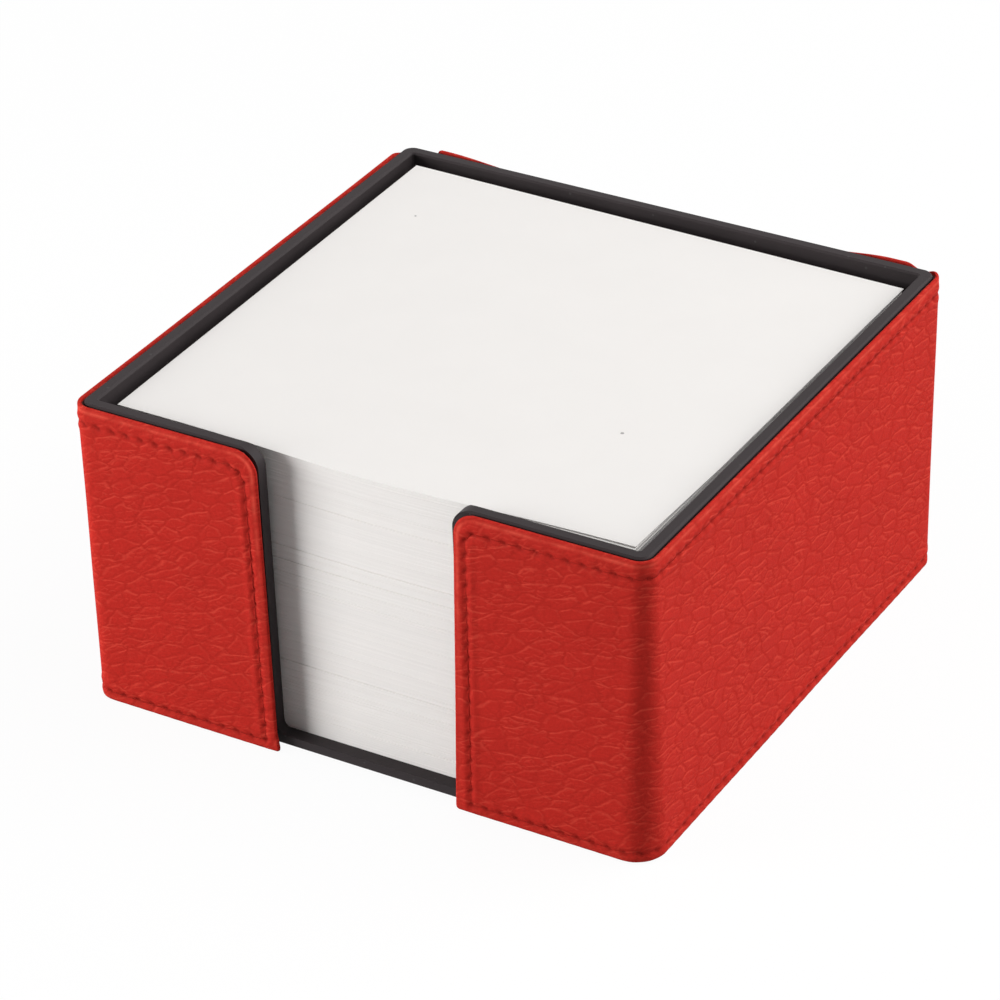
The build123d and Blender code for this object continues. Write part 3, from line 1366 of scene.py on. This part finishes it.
@dataclass
class MouldedTray:
    """The black tray, its glue and its feet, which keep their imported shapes."""

    plastic: PlasticFinish = PlasticFinish()
    glue: DullFinish = DullFinish("set_glue", (0.62, 0.56, 0.43, 1.0), 700.0, 0.02 * MM, 0.45)
    pad: DullFinish = DullFinish("foam_pad", (0.045, 0.045, 0.046, 1.0), 1500.0, 0.04 * MM, 0.95)
    glue_nodes: tuple[str, ...] = ("front_left", "front_right", "left", "right", "back")
    foot_nodes: tuple[str, ...] = ("front_left", "front_right", "back_left", "back_right")

    def dress(self) -> None:
        """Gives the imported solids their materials."""
        dress_node("tray", self.plastic.material())
        glue = self.glue.material()
        for name in self.glue_nodes:
            dress_node("adhesive_" + name, glue)
        pad = self.pad.material()
        for name in self.foot_nodes:
            dress_node("foot_" + name, pad)


@dataclass
class PaperPile:
    """The pile of loose sheets, as thin bundles that lie a little unevenly, and the sheet on top."""

    sheet_size: float = 90.0 * MM
    bundle_count: int = 200
    bundle_gap: float = 0.006 * MM
    cells: int = 10
    fine_bundles: int = 8
    stray: float = 0.022 * MM
    stray_turn: float = math.radians(0.05)
    pushed_in_share: float = 0.05
    pushed_in: float = 0.16 * MM
    lean: float = 0.55 * MM
    shift: tuple[float, float] = (0.30 * MM, -0.20 * MM)
    top_extra_width: float = 0.60 * MM
    front_left_lift: float = 0.20 * MM
    front_right_lift: float = 0.15 * MM
    back_left_lift: float = 0.75 * MM
    back_right_lift: float = -0.25 * MM
    thumb_sag: float = 0.95 * MM
    thumb_half_width: float = 19.8 * MM
    thumb_reach: float = 13.0 * MM
    sheet_cells: int = 40
    sheet_thickness: float = 0.12 * MM
    sheet_tone: float = 1.0
    lightest_leaf: float = 1.03
    leaf_spread: float = 0.03
    warp_power: float = 1.6
    corner_curl: tuple[float, ...] = (-0.45 * MM, 0.45 * MM, 0.14 * MM)
    curl_reach: float = 26.0 * MM
    seed: int = 41
    finish: PaperFinish = PaperFinish()
    low: Vector = field(init=False)
    high: Vector = field(init=False)

    def __post_init__(self) -> None:
        """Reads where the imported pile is."""
        low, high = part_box("paper_stack")
        self.low = Vector(low)
        self.high = Vector(high)

    def warp(self, x: float, y: float) -> float:
        """Gives how far the top of the pile stands above a level plane.

        Args:
            x: place to the right of the middle.
            y: place behind the middle.

        Returns:
            A height, negative where the pile sags.
        """
        right = x / self.sheet_size + 0.5
        back = y / self.sheet_size + 0.5
        front = self.front_left_lift * (1.0 - right) + self.front_right_lift * right
        rear = self.back_left_lift * (1.0 - right) + self.back_right_lift * right
        sag = self.thumb_sag * hump(0.0, self.thumb_half_width, x)
        sag *= hump(-self.sheet_size / 2.0, self.thumb_reach, y)
        return front * (1.0 - back) + rear * back - sag

    def near_corner(self, x: float, y: float) -> float:
        """Gives 1 at the front right corner, falling evenly to 0 at the curl's reach."""
        reach = self.sheet_size / 2.0
        return min(max(1.0 - math.hypot(x - reach, y + reach) / self.curl_reach, 0.0), 1.0)

    def add_bundle(
        self,
        points: list[Vector],
        faces: list[list[int]],
        floor: float,
        thickness: float,
        share: float,
        seat: Matrix,
        cells: int,
        curl: Sequence[float] = (0.0, 0.0, 0.0),
    ) -> None:
        """Adds one closed bundle of sheets to the lists of points and faces.

        Args:
            points: the vertices so far.
            faces: the faces so far.
            floor: height of its underside where the pile is level.
            thickness: its thickness.
            share: how much of the top's warp it has, from 0 to 1.
            seat: where it lies, turned and shifted.
            cells: how many cells it has along a side.
            curl: how far its front right corner is pulled in and lifted.
        """
        first = len(points)
        across = cells + 1
        for level in (0.0, thickness):
            for row in range(across):
                for column in range(across):
                    flat = Vector((column / cells - 0.5, row / cells - 0.5, 0.0)) * self.sheet_size
                    point = seat @ flat
                    point.z = floor + level + self.warp(point.x, point.y) * share
                    points.append(point + Vector(curl) * self.near_corner(point.x, point.y))
        faces.extend(sheet_faces(across, across, first))

    def build(self) -> None:
        """Builds the pile and the top sheet."""
        chance = random.Random(self.seed)
        material = self.finish.material()
        points: list[Vector] = []
        faces: list[list[int]] = []
        tones: list[float] = []
        pitch = (self.high.z - self.low.z) / self.bundle_count
        for number in range(self.bundle_count):
            share = (number + 0.5) / self.bundle_count
            push = self.pushed_in * chance.random() if chance.random() < self.pushed_in_share else 0.0
            shift = Vector(
                (
                    self.shift[0] + chance.gauss(0.0, self.stray),
                    self.shift[1] - self.lean * (1.0 - share) + chance.gauss(0.0, self.stray) + push,
                    0.0,
                )
            )
            seat = Matrix.Translation(shift) @ Matrix.Rotation(chance.gauss(0.0, self.stray_turn), 4, "Z")
            before = len(points)
            floor = self.low.z + pitch * number
            cells = self.cells if number < self.bundle_count - self.fine_bundles else self.sheet_cells
            thickness = pitch - self.bundle_gap
            self.add_bundle(points, faces, floor, thickness, share**self.warp_power, seat, cells)
            tone = self.lightest_leaf - self.leaf_spread * chance.random()
            tones.extend([tone] * (len(points) - before))
        pile = make_piece("note_pile", points, faces, material, Shading.FACETED)
        note_values(pile, "leaf_tone", tones)
        join_body(pile, Body.PILE, Slot.PAPER, "paper_stack")
        self.build_top_sheet(material)

    def build_top_sheet(self, material: bpy.types.Material) -> None:
        """Builds the loose sheet on top of the pile.

        Args:
            material: the paper's material.
        """
        points: list[Vector] = []
        faces: list[list[int]] = []
        spread = Matrix.Diagonal((1.0 + self.top_extra_width / self.sheet_size, 1.0, 1.0, 1.0))
        seat = Matrix.Translation((*self.shift, 0.0)) @ spread
        floor = self.high.z + self.bundle_gap
        thickness = self.sheet_thickness
        self.add_bundle(points, faces, floor, thickness, 1.0, seat, self.sheet_cells, self.corner_curl)
        sheet = make_piece("top_note", points, faces, material, Shading.FACETED)
        note_values(sheet, "leaf_tone", [self.sheet_tone] * len(points))
        join_body(sheet, Body.SHEET, Slot.PAPER, "top_sheet")


@dataclass(frozen=True)
class SoftBox:
    """A square studio lamp that faces the box."""

    name: str
    azimuth: float
    elevation: float
    distance: float
    size: float
    watts: float

    def build(self, target: Vector) -> None:
        """Hangs the lamp.

        Args:
            target: the point that it faces.
        """
        light = bpy.data.lights.new(self.name, "AREA")
        light.shape = "SQUARE"
        light.size = self.size
        light.energy = self.watts
        lamp = bpy.data.objects.new(self.name, light)
        towards = compass(self.azimuth, self.elevation)
        lamp.location = target + towards * self.distance
        lamp.rotation_euler = towards.to_track_quat("Z", "Y").to_euler()
        bpy.context.scene.collection.objects.link(lamp)


@dataclass
class Studio:
    """The pale floor, the soft lamps, the world and the photograph's camera."""

    floor_size: float = 6.0
    floor_white: Colour = WHITE
    floor_bounce: Colour = (0.45, 0.45, 0.45, 1.0)
    floor_roughness: float = 0.9
    shadow_share: float = 0.05
    world_strength: float = 0.075
    lamps: tuple[SoftBox, ...] = (
        SoftBox("top_lamp", 0.0, 88.0, 0.9, 0.9, 2.26),
        SoftBox("left_lamp", -48.0, 6.0, 0.75, 0.48, 7.85),
        SoftBox("right_lamp", 121.0, 33.0, 0.95, 1.10, 12.5),
    )
    azimuth: float = 30.571
    elevation: float = 31.23
    roll: float = math.radians(1.479)
    distance: float = 697.07 * MM
    slide_right: float = 3.325 * MM
    slide_down: float = -0.766 * MM
    target: tuple[float, float, float] = (0.0, 0.0, 24.63 * MM)
    focal_pixels: float = 4352.19
    picture_pixels: float = 1000.0
    sensor: float = 36.0
    nearest_view: float = 10.0 * MM

    def build(self) -> None:
        """Sets up floor, light and camera."""
        self.build_floor()
        self.build_world()
        for lamp in self.lamps:
            lamp.build(Vector(self.target))
        self.build_camera()
        bpy.context.scene.view_settings.view_transform = "Standard"

    def seen_directly(self, bench: NodeBench) -> Socket:
        """Gives 1 where the eye, a mirror or a glass sees the surface, and 0 where it only lights others.

        Args:
            bench: places nodes in the material.

        Returns:
            The socket that holds the result.
        """
        path = bench.add("ShaderNodeLightPath").outputs
        either = bench.sum_up("MAXIMUM", path["Is Camera Ray"], path["Is Glossy Ray"])
        return bench.sum_up("MAXIMUM", either, path["Is Transmission Ray"])

    def build_floor(self) -> None:
        """Lays the floor, which is white to the eye and keeps a faint shadow."""
        reach = self.floor_size / 2.0
        corners = [(-reach, -reach, 0.0), (reach, -reach, 0.0), (reach, reach, 0.0), (-reach, reach, 0.0)]
        material, bench, shader = new_material("white_floor")
        seen = self.seen_directly(bench)
        bench.feed(
            shader,
            {
                "Base Color": bench.blend(seen, self.floor_bounce, self.floor_white),
                "Roughness": self.floor_roughness,
                "Specular IOR Level": 0.0,
            },
        )
        glow = bench.add("ShaderNodeEmission", {"Color": WHITE, "Strength": 1.0}).outputs[0]
        share = bench.sum_up("MULTIPLY", seen, 1.0 - self.shadow_share)
        mix = bench.add("ShaderNodeMixShader", {0: share, 1: shader.outputs[0], 2: glow}).outputs[0]
        bench.feed(material.node_tree.nodes["Material Output"], {"Surface": mix})
        floor = make_piece("floor", corners, [[0, 1, 2, 3]], material)

    def build_world(self) -> None:
        """Sets a plain world, white to the eye."""
        world = bpy.data.worlds.new("studio")
        world.use_nodes = True
        bench = NodeBench(world.node_tree)
        more = bench.sum_up("MULTIPLY", self.seen_directly(bench), 1.0 - self.world_strength)
        strength = bench.sum_up("ADD", more, self.world_strength)
        bench.feed(world.node_tree.nodes["Background"], {"Color": WHITE, "Strength": strength})
        bpy.context.scene.world = world

    def build_camera(self) -> None:
        """Sets the camera where the photograph was taken from."""
        back = compass(self.azimuth, self.elevation)
        forward = -back
        level = forward.cross(Vector((0.0, 0.0, 1.0))).normalized()
        under = forward.cross(level)
        right = level * math.cos(self.roll) + under * math.sin(self.roll)
        down = under * math.cos(self.roll) - level * math.sin(self.roll)
        place = Vector(self.target) + back * self.distance - right * self.slide_right - down * self.slide_down
        lens = bpy.data.cameras.new("photo_camera")
        lens.sensor_width = self.sensor
        lens.lens = self.focal_pixels * self.sensor / self.picture_pixels
        lens.clip_start = self.nearest_view
        camera = bpy.data.objects.new("photo_camera", lens)
        turn = Matrix((right, -down, back)).transposed().to_4x4()
        camera.matrix_world = Matrix.Translation(place) @ turn
        bpy.context.scene.collection.objects.link(camera)
        bpy.context.scene.camera = camera


def main() -> None:
    """Builds the dressed memo box and its studio."""
    logging.basicConfig(level=logging.INFO, format="%(name)s: %(message)s")
    cover = LeatherCover()
    cover.build()
    SeamStitches(cover).build()
    LiningBoard(cover).build()
    MouldedTray().dress()
    PaperPile().build()
    Studio().build()


if __name__ == "__main__":
    main()
